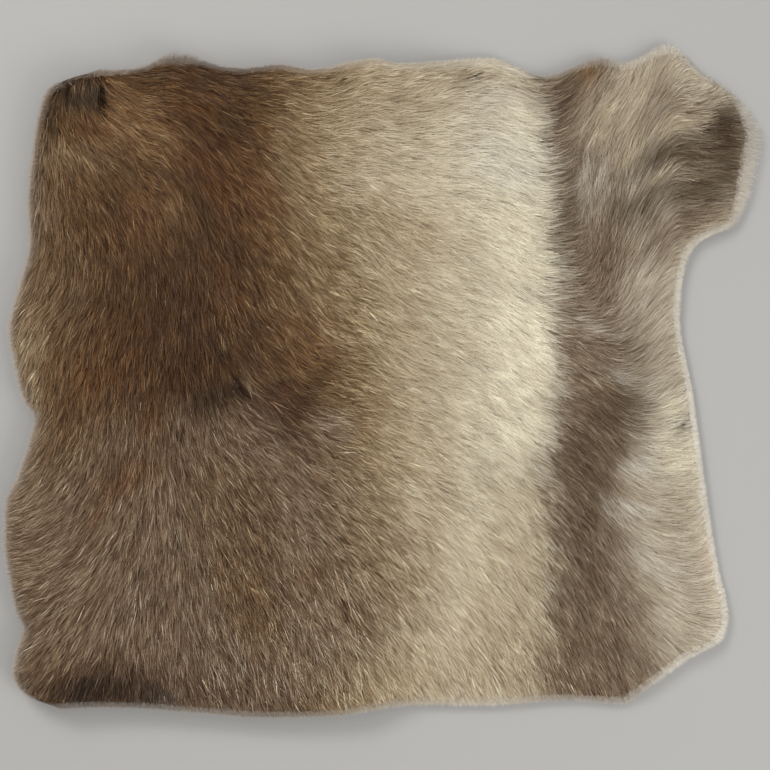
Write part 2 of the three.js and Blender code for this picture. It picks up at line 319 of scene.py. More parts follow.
# Patches laid over the bands. The harder a patch, the flatter its middle and the sharper its rim.
PATCHES = table(
    "colour x y length width turn hardness strength",
    ("brown", -0.075, 0.302, 0.045, 0.016, 0, 2, 0.60),
    ("tan", 0.010, 0.292, 0.110, 0.040, 0, 2, 0.45),
    ("tan", 0.110, 0.305, 0.060, 0.016, 0, 2, 0.50),
    ("tan", 0.020, 0.155, 0.045, 0.020, -35, 2, 0.35),
    ("cream", 0.126, -0.225, 0.135, 0.052, 84, 4, 0.95),
    ("tan", 0.110, -0.285, 0.070, 0.050, 0, 2, 0.35),
    ("tan", 0.060, -0.140, 0.055, 0.026, 80, 2, 0.35),
    ("tan", -0.045, -0.272, 0.045, 0.032, 0, 2, 0.60),
    ("tan", -0.040, -0.185, 0.045, 0.034, 0, 2, 0.50),
    ("cream", -0.020, -0.268, 0.050, 0.034, 0, 2, 0.30),
    ("margin", -0.336, 0.180, 0.060, 0.014, 90, 2, 0.50),
    ("margin", -0.318, 0.080, 0.030, 0.050, 0, 2, 0.25),
    ("tan", -0.348, 0.025, 0.060, 0.020, 90, 2, 0.45),
    ("ridge", -0.346, -0.265, 0.050, 0.018, 90, 2, 0.45),
    ("margin", -0.325, -0.185, 0.030, 0.050, 0, 2, 0.40),
    ("brown", -0.085, 0.010, 0.055, 0.012, 0, 2, 0.60),
    ("brown", -0.125, 0.282, 0.028, 0.018, 0, 2, 0.50),
    ("brown", -0.080, -0.092, 0.060, 0.022, 0, 2, 0.40),
    ("brown", -0.290, -0.075, 0.045, 0.030, 20, 2, 0.35),
    ("grey_brown", -0.180, -0.185, 0.215, 0.160, 0, 8, 0.80),
    ("grey_brown", -0.110, -0.260, 0.110, 0.070, -60, 2, 0.40),
    ("brown", -0.140, -0.140, 0.075, 0.040, -60, 3, 0.50),
    ("brown", -0.130, -0.225, 0.060, 0.028, -60, 3, 0.65),
    ("ridge", -0.130, -0.220, 0.040, 0.024, -60, 2, 0.30),
    ("ridge", -0.215, 0.075, 0.062, 0.056, 90, 3, 0.62),
    ("ridge", -0.175, 0.015, 0.055, 0.036, 0, 4, 0.65),
    ("orange_tan", -0.236, 0.256, 0.042, 0.034, -45, 3, 0.80),
    ("orange_tan", -0.210, 0.175, 0.040, 0.028, -60, 2, 0.40),
    ("tan", -0.300, 0.222, 0.030, 0.018, 0, 2, 0.30),
    ("rust", -0.170, 0.270, 0.045, 0.026, -30, 3, 0.55),
    ("rust", -0.165, 0.200, 0.055, 0.026, -60, 2, 0.55),
    ("rust", -0.115, 0.190, 0.045, 0.022, -50, 2, 0.45),
    ("ridge", -0.160, 0.258, 0.034, 0.020, -20, 2, 0.45),
    ("olive", -0.147, 0.256, 0.014, 0.009, -50, 2, 0.80),
    ("olive", -0.177, 0.173, 0.019, 0.009, -80, 2, 0.75),
    ("rust", -0.240, 0.165, 0.045, 0.022, 80, 2, 0.40),
    ("corner", -0.302, 0.282, 0.028, 0.0175, 0, 5, 1.00),
    ("corner", -0.327, 0.256, 0.023, 0.0105, -72, 3, 0.75),
    ("margin", -0.300, 0.304, 0.034, 0.006, 8, 2, 0.40),
    ("rust", -0.288, 0.247, 0.022, 0.009, -10, 2, 0.60),
    ("rust", -0.255, 0.030, 0.045, 0.030, 80, 2, 0.40),
    ("rust", -0.290, 0.000, 0.025, 0.016, 70, 2, 0.55),
    ("rust", -0.140, 0.085, 0.050, 0.022, -50, 2, 0.30),
    ("rust", -0.060, 0.040, 0.040, 0.018, -45, 2, 0.35),
    # Painted shade over dark hair: the whorl's pit and the hollows beside it.
    ("darkest_hair_and_whorl_shade", -0.137, -0.010, 0.012, 0.006, 85, 2, 0.90),
    ("darkest_hair_and_whorl_shade", -0.162, -0.020, 0.028, 0.016, 10, 3, 0.60),
    ("dark_rust_and_whorl_shade", -0.096, -0.018, 0.036, 0.012, -5, 3, 0.50),
    ("rust", -0.228, -0.040, 0.030, 0.014, 85, 2, 0.55),
    ("rust", -0.250, -0.100, 0.036, 0.018, 20, 2, 0.70),
    ("rust", -0.284, -0.142, 0.018, 0.010, 50, 2, 0.55),
    ("rust", -0.064, -0.197, 0.024, 0.012, 30, 2, 0.50),
    ("rust", -0.025, -0.240, 0.022, 0.012, -30, 2, 0.35),
    ("dark_rust_and_whorl_shade", -0.272, -0.308, 0.085, 0.024, 0, 3, 0.75),
    ("darkest_hair_and_whorl_shade", -0.288, -0.311, 0.060, 0.018, 0, 3, 0.72),
    ("ridge", -0.140, -0.300, 0.040, 0.018, 0, 2, 0.35),
    ("bluish_dark", -0.212, -0.312, 0.020, 0.010, 10, 2, 0.75),
    ("whitish", 0.130, 0.225, 0.050, 0.034, -20, 3, 0.50),
    ("whitish", 0.120, 0.285, 0.045, 0.018, 5, 2, 0.30),
    ("pale_cream", 0.135, 0.020, 0.095, 0.032, 85, 2, 0.80),
    ("corner", 0.158, 0.088, 0.016, 0.003, -12, 2, 0.50),
    ("tan", 0.060, -0.300, 0.090, 0.030, -10, 2, 0.30),
    ("tan", 0.020, -0.190, 0.080, 0.030, -50, 2, 0.25),
    ("tan", 0.060, -0.078, 0.040, 0.030, 0, 2, 0.20),
    ("tan", -0.090, 0.085, 0.032, 0.032, 0, 2, 0.15),
    ("tan", -0.127, -0.008, 0.012, 0.004, -62, 2, 0.45),
    ("beige", -0.046, -0.045, 0.024, 0.014, -60, 2, 0.35),
    ("tan", 0.135, -0.118, 0.022, 0.012, 0, 2, 0.35),
    ("dark_stripe", 0.205, -0.068, 0.056, 0.028, 75, 2, 0.62),
    ("dark_stripe", 0.249, -0.044, 0.034, 0.022, 5, 2, 0.72),
    ("dark_stripe", 0.258, -0.018, 0.022, 0.030, 0, 2, 0.50),
    ("stripe", 0.262, 0.140, 0.030, 0.020, 0, 2, 0.60),
    ("pale_cream", 0.299, -0.045, 0.056, 0.021, 92, 4, 1.00),
    ("dark_stripe", 0.205, -0.150, 0.070, 0.026, 80, 2, 0.50),
    ("beige", 0.212, 0.050, 0.045, 0.016, 80, 2, 0.35),
    ("stripe", 0.252, 0.034, 0.034, 0.020, 90, 2, 0.40),
    ("dark_stripe", 0.183, 0.285, 0.028, 0.010, 70, 2, 0.70),
    ("dark_stripe", 0.182, 0.150, 0.050, 0.010, 88, 2, 0.60),
    ("stripe", 0.245, -0.255, 0.060, 0.040, -60, 2, 0.55),
    ("whitish", 0.204, 0.200, 0.030, 0.0035, 86, 2, 0.60),
    ("whitish", 0.213, 0.186, 0.032, 0.0035, 83, 2, 0.60),
    ("whitish", 0.222, 0.204, 0.026, 0.0035, 78, 2, 0.55),
    ("whitish", 0.229, 0.180, 0.026, 0.0030, 78, 2, 0.50),
    ("whitish", 0.216, 0.053, 0.020, 0.0050, -35, 2, 0.50),
    ("whitish", 0.246, 0.000, 0.020, 0.0060, -20, 2, 0.45),
    ("whitish", 0.258, -0.084, 0.015, 0.0030, -20, 2, 0.90),
    ("whitish", 0.268, -0.077, 0.014, 0.0035, 32, 2, 0.90),
    ("whitish", 0.272, -0.090, 0.012, 0.0030, -55, 2, 0.80),
    ("whitish", 0.264, -0.083, 0.012, 0.0100, 0, 2, 0.45),
    ("whitish", 0.245, -0.122, 0.022, 0.0030, -25, 2, 0.85),
    ("whitish", 0.257, -0.131, 0.020, 0.0040, -12, 2, 0.85),
    ("whitish", 0.240, -0.136, 0.018, 0.0030, -40, 2, 0.75),
    ("whitish", 0.283, -0.184, 0.028, 0.015, -30, 2, 0.55),
    ("orange_tan", 0.210, 0.300, 0.014, 0.009, 60, 3, 0.90),
    ("beige", 0.265, 0.285, 0.060, 0.036, 35, 4, 0.85),
    ("stripe", 0.305, 0.280, 0.038, 0.018, 25, 2, 0.55),
    ("stripe", 0.270, 0.250, 0.022, 0.008, 55, 2, 0.45),
    ("beige", 0.205, 0.256, 0.024, 0.010, 68, 2, 0.80),
    ("beige", 0.222, 0.224, 0.026, 0.009, 80, 2, 0.60),
    ("beige", 0.220, 0.158, 0.018, 0.012, 80, 2, 0.60),
    ("stripe", 0.174, 0.195, 0.032, 0.010, 88, 2, 0.55),
    ("stripe", 0.325, 0.166, 0.022, 0.010, 25, 2, 0.50),
    ("cream", 0.226, 0.262, 0.034, 0.0070, 62, 2, 0.80),
    ("cream", 0.256, 0.270, 0.030, 0.0050, 66, 2, 0.70),
    ("lobe_brown", 0.325, 0.222, 0.070, 0.054, 20, 4, 0.92),
    ("lobe_brown", 0.265, 0.172, 0.030, 0.016, 30, 3, 0.70),
    ("lobe_brown", 0.350, 0.252, 0.020, 0.030, 0, 3, 1.00),
    ("lobe_brown", 0.282, 0.226, 0.034, 0.007, 40, 2, 0.60),
    ("cream", 0.258, 0.232, 0.024, 0.0055, 46, 2, 1.00),
    ("cream", 0.285, 0.253, 0.024, 0.0060, 34, 2, 1.00),
    ("cream", 0.314, 0.268, 0.024, 0.0060, 18, 2, 0.90),
    ("lobe_brown", 0.281, 0.214, 0.026, 0.009, 42, 2, 0.55),
    ("beige", 0.362, 0.205, 0.045, 0.010, 86, 2, 0.55),
    ("stripe", 0.362, 0.163, 0.026, 0.014, 50, 2, 0.80),
    ("cream", 0.280, 0.203, 0.020, 0.0045, 46, 2, 1.00),
    ("cream", 0.305, 0.219, 0.024, 0.0045, 14, 2, 0.80),
    ("rust", 0.329, 0.170, 0.022, 0.010, 5, 2, 0.35),
    ("stripe", 0.300, 0.148, 0.045, 0.020, 45, 2, 0.60),
    ("pale_cream", 0.326, -0.110, 0.185, 0.013, 96, 3, 0.55),
    ("stripe", 0.298, 0.003, 0.032, 0.018, 90, 2, 0.35),
    ("beige", 0.308, -0.180, 0.050, 0.018, 90, 2, 0.35),
    ("stripe", 0.238, -0.222, 0.032, 0.020, 85, 2, 0.60),
    ("pink_beige", 0.328, -0.180, 0.030, 0.007, 90, 2, 0.35),
    ("corner", 0.303, -0.042, 0.010, 0.004, 60, 2, 0.75),
)


def shade(red, green, blue):
    """A colour given as seen on a screen, 0 to 255, as the linear numbers that shaders use."""
    seen = np.array((red, green, blue)) / 255
    return tuple(np.where(seen <= 0.04045, seen / 12.92, ((seen + 0.055) / 1.055) ** 2.4))


def colour_property(name, description, seen):
    return FloatVectorProperty(
        name=name, description=description, subtype="COLOR", size=3, min=0, max=1, default=shade(*seen)
    )


def length_property(name, description, default):
    return FloatProperty(
        name=name, description=description, default=default, min=0, unit="LENGTH", precision=4
    )


class HideSizes(bpy.types.PropertyGroup):
    """Sizes of the skin, the fold and the coat."""

    skin: length_property("Skin", "Thickness of the tanned skin", 0.0025)
    gap: length_property("Gap", "Air between the two flesh sides", 0.003)
    upper_pile: length_property("Upper pile", "Height of the coat of the upper layer", 0.020)
    under_pile: length_property("Under pile", "Height of the pressed coat of the lower layer", 0.014)
    fold_depth: length_property("Fold depth", "From the outline to where the layers run straight", 0.024)
    fold_girth: length_property("Fold girth", "Length of the coat's turn round the fold", 0.069)
    loop_swell: length_property("Loop swell", "How far the loop in the fold pushes each layer out", 0.002)
    loop_reach: length_property("Loop reach", "How far from the fold that swelling dies away", 0.060)
    under_inset: length_property("Under inset", "How far the lower layer's edges stay inside", 0.012)
    drape_clearance: length_property("Drape clearance", "Level stretch past the free edge", 0.008)
    drape_run: length_property("Drape run", "Length of the slope down to the floor", 0.072)
    rim_width: length_property("Rim width", "Width over which the coat thins towards an edge", 0.018)
    rim_share: FloatProperty(name="Rim share", description="Share of the coat at an edge", default=0.34)
    lock_size: length_property("Lock size", "Distance between locks of hair", 0.0050)
    lock_pull: FloatProperty(name="Lock pull", description="How far hairs lean to their lock", default=0.40)
    # Width of the painted rim light inside the outline.
    rim_light_width: length_property("Pale rim", "Width of the pale hair inside the outline", 0.006)
    seed: IntProperty(name="Seed", description="Start of the random numbers", default=7)


class HideColours(bpy.types.PropertyGroup):
    """Colours of the coat, the painted rim light and the skin."""

    margin: colour_property("Margin", "Hair along the fold", (150, 127, 102))
    brown: colour_property("Brown", "Hair of the back", (116, 84, 50))
    ridge: colour_property("Ridge", "Dark hair along the back", (84, 56, 30))
    rust: colour_property("Rust", "Reddish patches of the back", (115, 74, 38))
    # Dark rust also paints the shade of the hollow right of the whorl.
    dark_rust_and_whorl_shade: colour_property("Dark rust", "Dark reddish hair by the whorl", (82, 52, 30))
    # Dark spot also paints the shade of the whorl's pit and of the hollow beside it.
    darkest_hair_and_whorl_shade: colour_property("Dark spot", "Darkest hair, at the whorl", (38, 27, 17))
    olive: colour_property("Olive", "Dark greenish hair of the neck", (72, 54, 28))
    orange_tan: colour_property("Orange tan", "Warm light hair near the neck", (142, 108, 70))
    tan: colour_property("Tan", "Hair between the back and the side", (168, 144, 108))
    corner: colour_property("Corner", "Grey hair of the neck corner", (74, 58, 42))
    grey_brown: colour_property("Grey brown", "Hair of the rump", (131, 109, 86))
    bluish_dark: colour_property("Bluish dark", "Dark cool hair at the cut edge", (66, 60, 54))
    cream: colour_property("Cream", "Hair of the side", (210, 196, 168))
    pale_cream: colour_property("Pale cream", "Lightest hair of the side", (245, 238, 216))
    whitish: colour_property("Whitish", "Cool light hair", (229, 225, 213))
    stripe: colour_property("Stripe", "Hair of the flank stripe", (132, 112, 90))
    dark_stripe: colour_property("Dark stripe", "Darkest hair of the flank", (98, 80, 60))
    lobe_brown: colour_property("Lobe brown", "Dark hair of the foreleg lobe", (84, 65, 46))
    beige: colour_property("Beige", "Light hair of the foreleg lobe", (192, 178, 156))
    belly: colour_property("Belly", "Hair of the belly edge", (208, 197, 176))
    pink_beige: colour_property("Pink beige", "Thin hair at the belly edge", (218, 186, 162))
    tip: colour_property("Tip", "What the light tips go towards", (238, 226, 200))
    # Painted rim light: the colour that the hair round the edges is lightened towards.
    rim: colour_property("Rim", "Pale hair round the edges", (250, 246, 238))
    flesh: colour_property("Flesh side", "Suede of the tanned skin", (206, 186, 158))
    floor: colour_property("Floor", "Plain pale floor", (176, 176, 176))


def smooth_step(at, low, high):
    t = np.clip((at - low) / (high - low), 0, 1)
    return t * t * (3 - 2 * t)


def along(rows, at):
    """The second column of a table where its first column is at. Between rows it is a cubic,
    whose slope at a row is the harmonic mean of its neighbours' slopes, or 0 where they differ
    in sign."""
    key, value = (rows[name].astype(float) for name in rows.dtype.names)
    if key[0] > key[-1]:
        key, value = key[::-1], value[::-1]
    at = np.clip(at, key[0], key[-1])
    rise = np.diff(value) / np.diff(key)
    both = rise[:-1] * rise[1:]
    total = np.where(both > 0, rise[:-1] + rise[1:], 1)
    slope = np.concatenate([rise[:1], np.where(both > 0, 2 * both / total, 0), rise[-1:]])
    i = np.clip(np.searchsorted(key, at, side="right") - 1, 0, len(key) - 2)
    span = key[i + 1] - key[i]
    t = (at - key[i]) / span
    ease = t * t * (3 - 2 * t)
    bend = slope[i] * (1 - t) - slope[i + 1] * t
    return value[i] + (value[i + 1] - value[i]) * ease + span * t * (1 - t) * bend


LATTICE = 128  # squares of noise, either way, before it repeats
LOCK_LATTICE = 256  # squares of locks, either way, before they repeat


def noise(x, y, grain, seed):
    """Smooth noise from -1 to 1: random values on a lattice of this grain, eased between."""
    values = np.random.default_rng(seed).uniform(-1, 1, (LATTICE, LATTICE))
    column, row = x / grain, y / grain
    i, j = np.floor(column).astype(int), np.floor(row).astype(int)
    s, t = column - i, row - j
    s, t = s * s * (3 - 2 * s), t * t * (3 - 2 * t)
    i, j, right, up = i % LATTICE, j % LATTICE, (i + 1) % LATTICE, (j + 1) % LATTICE
    low = values[i, j] * (1 - s) + values[right, j] * s
    high = values[i, up] * (1 - s) + values[right, up] * s
    return low * (1 - t) + high * t


def with_noise(value, layers, x, y):
    """The value plus each layer of noise, with the layer's own height, grain and seed."""
    for layer in layers:
        value = value + layer.height * noise(x, y, layer.grain, layer.seed)
    return value


def nominal_y(v):
    """Y of a row, taken as straight."""
    return LOW_Y + (HIGH_Y - LOW_Y) * v


def fold_line(hide, v):
    """Where the layers start to run straight, along X."""
    return along(FOLD_EDGE, nominal_y(v)) + hide.fold_depth


def row_y(x, v, inset=0.0):
    """Y at a share v of the way from the cut edge to the shoulder edge."""
    low = along(CUT_EDGE, x) + inset
    high = along(SHOULDER_EDGE, x) - inset
    return low + (high - low) * v


def flat_y(w, v):
    """Y on the unrolled hide. Past the fold it is the same as at the fold."""
    return row_y(np.maximum(w, MIRROR_FROM), v)


def reach_y(w):
    """How far the unrolled hide reaches along Y."""
    return flat_y(w, 1.0) - flat_y(w, 0.0)


def rim(hide, distance):
    """Share of the coat at a distance in from an edge, rounded like a quarter ellipse."""
    inwards = np.clip(distance / hide.rim_width, 0, 1)
    return hide.rim_share + (1 - hide.rim_share) * np.sqrt(1 - (1 - inwards) ** 2)


def layer_places(hide, w, v):
    """For points of the unrolled hide: the fold line, and their X on the upper and lower layer,
    held at the fold line for points that lie on another part."""
    start = fold_line(hide, v)
    upper = np.maximum(w, start)
    lower = start + np.maximum(start - hide.fold_girth - w, 0)
    return start, upper, lower


def place(hide, w, v, skin, coat):
    """Points of the folded hide. w is the place along the unrolled hide, which is X on the upper
    layer and runs on round the fold and back along the lower layer; v is the share of the way
    from the cut edge to the shoulder edge; skin is the share of the skin's thickness out from
    the flesh side, and coat the share of the coat's height above it. Round the fold, a point
    turns on a half ellipse from the upper layer's height to the lower layer's."""
    start, upper, lower = layer_places(hide, w, v)
    past = smooth_step(lower - start, 0, hide.loop_reach)
    upper_y, lower_y = row_y(upper, v), row_y(lower, v, hide.under_inset * past)
    ends = rim(hide, np.minimum(v, 1 - v) * (HIGH_Y - LOW_Y))
    level = hide.under_pile + hide.skin + hide.gap
    free = along(UNDER_EDGE, upper_y) + hide.drape_clearance
    swell = hide.loop_swell * (1 - smooth_step(upper - start, 0, hide.loop_reach))
    flesh = level * (1 - smooth_step(upper, free, free + hide.drape_run)) + swell
    pile = hide.upper_pile + sum(
        wave.height * np.sin(2 * np.pi * (upper / wave.along_x + upper_y / wave.along_y) + wave.phase)
        for wave in WAVES
    )
    pile = with_noise(pile, LUMPS, upper, upper_y)
    for dip in DIPS:
        pile = pile - dip.depth * spot_share(upper, upper_y, dip)
    thin = ends * rim(hide, along(BELLY_EDGE, nominal_y(v)) - upper)
    top = flesh + hide.skin * skin + pile * thin * coat
    under_flesh = hide.under_pile + hide.skin - hide.loop_swell * (1 - past)
    under_thin = ends * rim(hide, along(UNDER_EDGE, nominal_y(v)) - lower)
    bottom = under_flesh - hide.skin * skin - (under_flesh - hide.skin) * under_thin * coat
    loop = (level - hide.under_pile - hide.skin) / 2 + hide.loop_swell
    depth = loop + hide.skin * skin + (hide.fold_depth - loop - hide.skin) * ends * coat
    turn = np.pi * np.clip((start - w) / hide.fold_girth, 0, 1)
    on_lower = w < start - hide.fold_girth
    x = np.where(on_lower, lower, upper - depth * np.sin(turn) * (w < start))
    y = np.where(w < start, lower_y, upper_y)
    z = np.maximum(bottom + (top - bottom) * (1 + np.cos(turn)) / 2, LOWEST)
    return np.stack([x, y, z], -1)


def inside(hide, w, v):
    """Distance in from the nearest cut edge, less than 0 outside the hide."""
    start, upper, lower = layer_places(hide, w, v)
    y = nominal_y(v)
    ends = np.minimum(v, 1 - v) * (HIGH_Y - LOW_Y)
    side = np.where(w < start, along(UNDER_EDGE, y) - lower, along(BELLY_EDGE, y) - upper)
    return np.minimum(ends, side)


def both_flanks(w, y, read):
    """For a place of the unrolled hide: how far it belongs to the other flank, what read says of
    the place, and what it says at the same distance on this side of the middle of the back."""
    other = smooth_step(-w, -MIRROR_FROM, -MIRROR_FULL)
    return other, read(np.maximum(w, MIRROR_FULL), y), read(2 * RIDGE_X - w, y)


def lie_of_upper(x, y):
    """Direction of the hair in radians: linear between the pairs of each row of LIE, and between
    the rows."""
    heights = np.array([height for height, _ in LIE])
    angles = np.stack([np.interp(x, pairs.x, pairs.degrees) for _, pairs in LIE])
    at = np.interp(-y, -heights, np.arange(len(heights)))
    row = np.minimum(at.astype(int), len(heights) - 2)
    t = at - row
    picked = np.take_along_axis(angles, row[None], 0)[0]
    after = np.take_along_axis(angles, row[None] + 1, 0)[0]
    return np.radians(picked * (1 - t) + after * t)


def lie(w, y):
    """Unit vectors of the hair's direction on the unrolled hide."""
    other, here, there = both_flanks(w, y, lie_of_upper)
    flow = np.stack([np.cos(here) * (1 - other) - np.cos(there) * other,
                     np.sin(here) * (1 - other) + np.sin(there) * other], -1)
    return flow / np.maximum(np.linalg.norm(flow, axis=-1, keepdims=True), 1e-6)


def coat_of_upper(colours, x, y):
    """Colour of the coat: linear between the middles of the bands, then each patch laid over it,
    fading out like a bell with its distance across and along."""
    middles = np.stack([along(rows, y) for _, rows in BANDS])
    tones = np.array([getattr(colours, name) for name, _ in BANDS])
    found = np.broadcast_to(tones[0], x.shape + (3,)).copy()
    for i in range(len(BANDS) - 1):
        apart = np.maximum(middles[i + 1] - middles[i], 1e-4)
        share = np.clip((x - middles[i]) / apart, 0, 1)[..., None]
        found = found + (tones[i + 1] - tones[i]) * share
    for patch in PATCHES:
        share = patch.strength * spot_share(x, y, patch, patch.hardness)[..., None]
        found = found + (np.array(getattr(colours, patch.colour)) - found) * share
    return found


def coat_colour(colours, w, y):
    """Colour of the coat on the unrolled hide, its bands and patches frayed by noise."""
    frayed = with_noise(w, FRAYED_W, w, y), with_noise(y, FRAYED_Y, w, y)
    other, here, there = both_flanks(*frayed, lambda x, y: coat_of_upper(colours, x, y))
    return here + (there - here) * other[..., None]


def locks_near(w, y, size, seed):
    """The nearest of the locks' middles, which stand one at random in each square of a lattice,
    and two random numbers of that lock."""
    rng = np.random.default_rng(seed)
    spots, own = rng.random((2, LOCK_LATTICE, LOCK_LATTICE, 2))
    column, row = np.floor(w / size).astype(int), np.floor(y / size).astype(int)
    nearest = np.full(w.shape, np.inf)
    middle, chance = np.zeros(w.shape + (2,)), np.zeros(w.shape + (2,))
    for i in (-1, 0, 1):
        for j in (-1, 0, 1):
            a, b = column + i, row + j
            lock = a % LOCK_LATTICE, b % LOCK_LATTICE
            spot = (np.stack([a, b], -1) + spots[lock]) * size
            far = np.hypot(spot[..., 0] - w, spot[..., 1] - y)
            closer = far < nearest
            nearest = np.where(closer, far, nearest)
            middle = np.where(closer[..., None], spot, middle)
            chance = np.where(closer[..., None], own[lock], chance)
    return middle, chance


def turned(flow, angle):
    """Directions turned to the left by an angle in radians."""
    c, s = np.cos(angle), np.sin(angle)
    return np.stack([flow[:, 0] * c - flow[:, 1] * s, flow[:, 0] * s + flow[:, 1] * c], -1)


def spot_share(x, y, spot, power=2):
    """1 in the middle of an ellipse, fading out like a bell with the distance across and along."""
    c, s = math.cos(math.radians(spot.turn)), math.sin(math.radians(spot.turn))
    far = ((x - spot.x) * c + (y - spot.y) * s) / spot.length
    across = ((y - spot.y) * c - (x - spot.x) * s) / spot.width
    return np.exp(-((far**2 + across**2) ** (power / 2)))


def parted(w, y):
    """How far the coat is parted at a place, from 0 to 1."""
    return np.max([spot_share(w, y, parting, 4) for parting in PARTINGS], 0)


UNSEEN_TURN = 4  # how much faster the painted rim light fades on the side of the fold that is below


def from_outline(hide, w, v):
    """Distance, as seen from above, from the outline of the folded hide. It counts UNSEEN_TURN
    times on the lower half of the fold's turn."""
    start, _, _ = layer_places(hide, w, v)
    turn = np.pi * np.clip((start - w) / hide.fold_girth, 0, 1)
    in_turn = hide.fold_depth * (1 - np.sin(turn)) * np.where(turn > np.pi / 2, UNSEEN_TURN, 1)
    fold = np.where(w < start, in_turn, hide.fold_depth + w - start)
    return np.minimum(inside(hide, w, v), fold)


def new_piece(name, points, faces, material):
    """A shaded-smooth mesh object of these points and faces, riding on the hide's body."""
    mesh = bpy.data.meshes.new(name)
    mesh.vertices.add(len(points))
    mesh.vertices.foreach_set("co", points.astype(np.float32).ravel())
    mesh.loops.add(faces.size)
    mesh.loops.foreach_set("vertex_index", faces.astype(np.int32).ravel())
    mesh.polygons.add(len(faces))
    mesh.polygons.foreach_set("loop_start", np.arange(len(faces), dtype=np.int32) * faces.shape[1])
    mesh.polygons.foreach_set("use_smooth", np.ones(len(faces), bool))
    mesh.update(calc_edges=True)
    mesh.validate()
    piece = bpy.data.objects.new(name, mesh)
    bpy.context.scene.collection.objects.link(piece)
    mesh.materials.append(material)
    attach(piece, BODY)
    return piece


def give_colours(piece, **layers):
    """Puts a colour, or a number, on every point, under these names."""
    for name, values in layers.items():
        if values.ndim == 1:
            layer = piece.data.attributes.new(name, "FLOAT", "POINT")
            layer.data.foreach_set("value", values.astype(np.float32))
        else:
            layer = piece.data.attributes.new(name, "FLOAT_COLOR", "POINT")
            full = np.column_stack([values, np.ones(len(values))])
            layer.data.foreach_set("color", full.astype(np.float32).ravel())


def give_map(piece, uv):
    """Lays the piece out on its bake map, by a place for each point."""
    corners = np.empty(len(piece.data.loops), np.int32)
    piece.data.loops.foreach_get("vertex_index", corners)
    places = uv[corners].astype(np.float32).ravel()
    piece.data.uv_layers.new(name=BAKE_MAP).uv.foreach_set("vector", places)


MAP_CELLS = 24  # the hair's bake map has a square for each of this many places either way
MAP_MARGIN = 0.06  # space left in a square round its hairs
MAP_WIDTH = 0.02  # half a hair's width on the map


def hair_uv(w, y, tip, light_tipped, share, half):
    """Places on the bake map. A hair lies in the square of its root's place, in the left or the
    right half by the kind of its tip, across by how light it is and up by the share of its
    length, so hairs that share a spot there look alike."""
    cell_w = np.floor((w - w.min()) / (np.ptp(w) + 1e-6) * MAP_CELLS)
    cell_y = np.floor((y - y.min()) / (np.ptp(y) + 1e-6) * MAP_CELLS)
    light = np.clip(tip.mean(-1) ** 0.5, 0, 1)
    across = MAP_MARGIN + (0.5 - 2 * MAP_MARGIN) * light + MAP_WIDTH * half + 0.5 * light_tipped
    up = MAP_MARGIN + (1 - 2 * MAP_MARGIN) * share
    return np.stack([cell_w + across, cell_y + up], -1) / MAP_CELLS


LOCK_SWAY = 0.40  # radians between the locks that turn farthest from the lie
HAIR_SWAY = 0.15  # radians that hairs turn from their lock
KEPT_COURSE = 0.4  # share of a step's direction that the next step keeps
IN_PARTING = 0.3  # how far parted the coat has to be to stop a hair
STOPPED_HAIR = 0.15  # share of its length that a stopped hair keeps
SHORTEST_HAIR = 0.12  # share of its length that every hair keeps


def comb(hide, w, v, flow, length, stations, uneven, rng, overhang):
    """The places along each hair, as arrays of (w, y), and the Y and the hide's reach along Y at
    its root. A hair runs in steps of equal length that turn with the flow and with its lock, and
    leans towards its lock. One that would end farther out than its random share of the overhang
    is shortened to end there, and one that would cross a parting is kept short."""
    base_y, tall = flat_y(w, v), reach_y(w)
    middle, chance = locks_near(w, base_y, hide.lock_size, hide.seed)
    sway = (chance[:, 0] - 0.5) * LOCK_SWAY * uneven
    step = turned(flow(w, base_y), sway + rng.normal(0, HAIR_SWAY, len(w)) * uneven)
    lock_step = turned(flow(*middle.T), sway)
    path = [np.stack([w, base_y], -1)]
    for i in range(stations):
        share = (i + 1) / stations
        ahead = path[-1] + step * (length / stations)[:, None]
        lock_ahead = middle + lock_step * (length * share)[:, None]
        ahead = ahead + (lock_ahead - ahead) * (hide.lock_pull * share**1.5)
        path.append(ahead)
        step = step * KEPT_COURSE + turned(flow(*ahead.T), sway) * (1 - KEPT_COURSE)
        step = step / np.maximum(np.linalg.norm(step, axis=-1, keepdims=True), 1e-6)
    allowed = overhang * rng.random(len(w))
    root_in = inside(hide, w, v)
    end_in = inside(hide, path[-1][:, 0], v + (path[-1][:, 1] - base_y) / tall)
    keep = np.where(end_in < -allowed, (root_in + allowed) / np.maximum(root_in - end_in, 1e-6), 1)
    between = [a + (b - a) * share for a, b in zip(path, path[1:]) for share in (0.33, 0.67, 1.0)]
    crossed = np.max([parted(*at.T) for at in between], 0)
    stopped = crossed > np.maximum(parted(w, base_y), IN_PARTING)
    keep = np.clip(np.where(stopped, STOPPED_HAIR, keep), SHORTEST_HAIR, 1)[:, None]
    return [path[0] + (at - path[0]) * keep for at in path], base_y, tall


HAIR_ROLL = 0.45  # radians that hairs roll to a side
PRESSED_HAIR = 0.35  # share of its height that the most pressed hair loses
PARTED_HAIR = 0.65  # share of its height that a hair in a parting loses


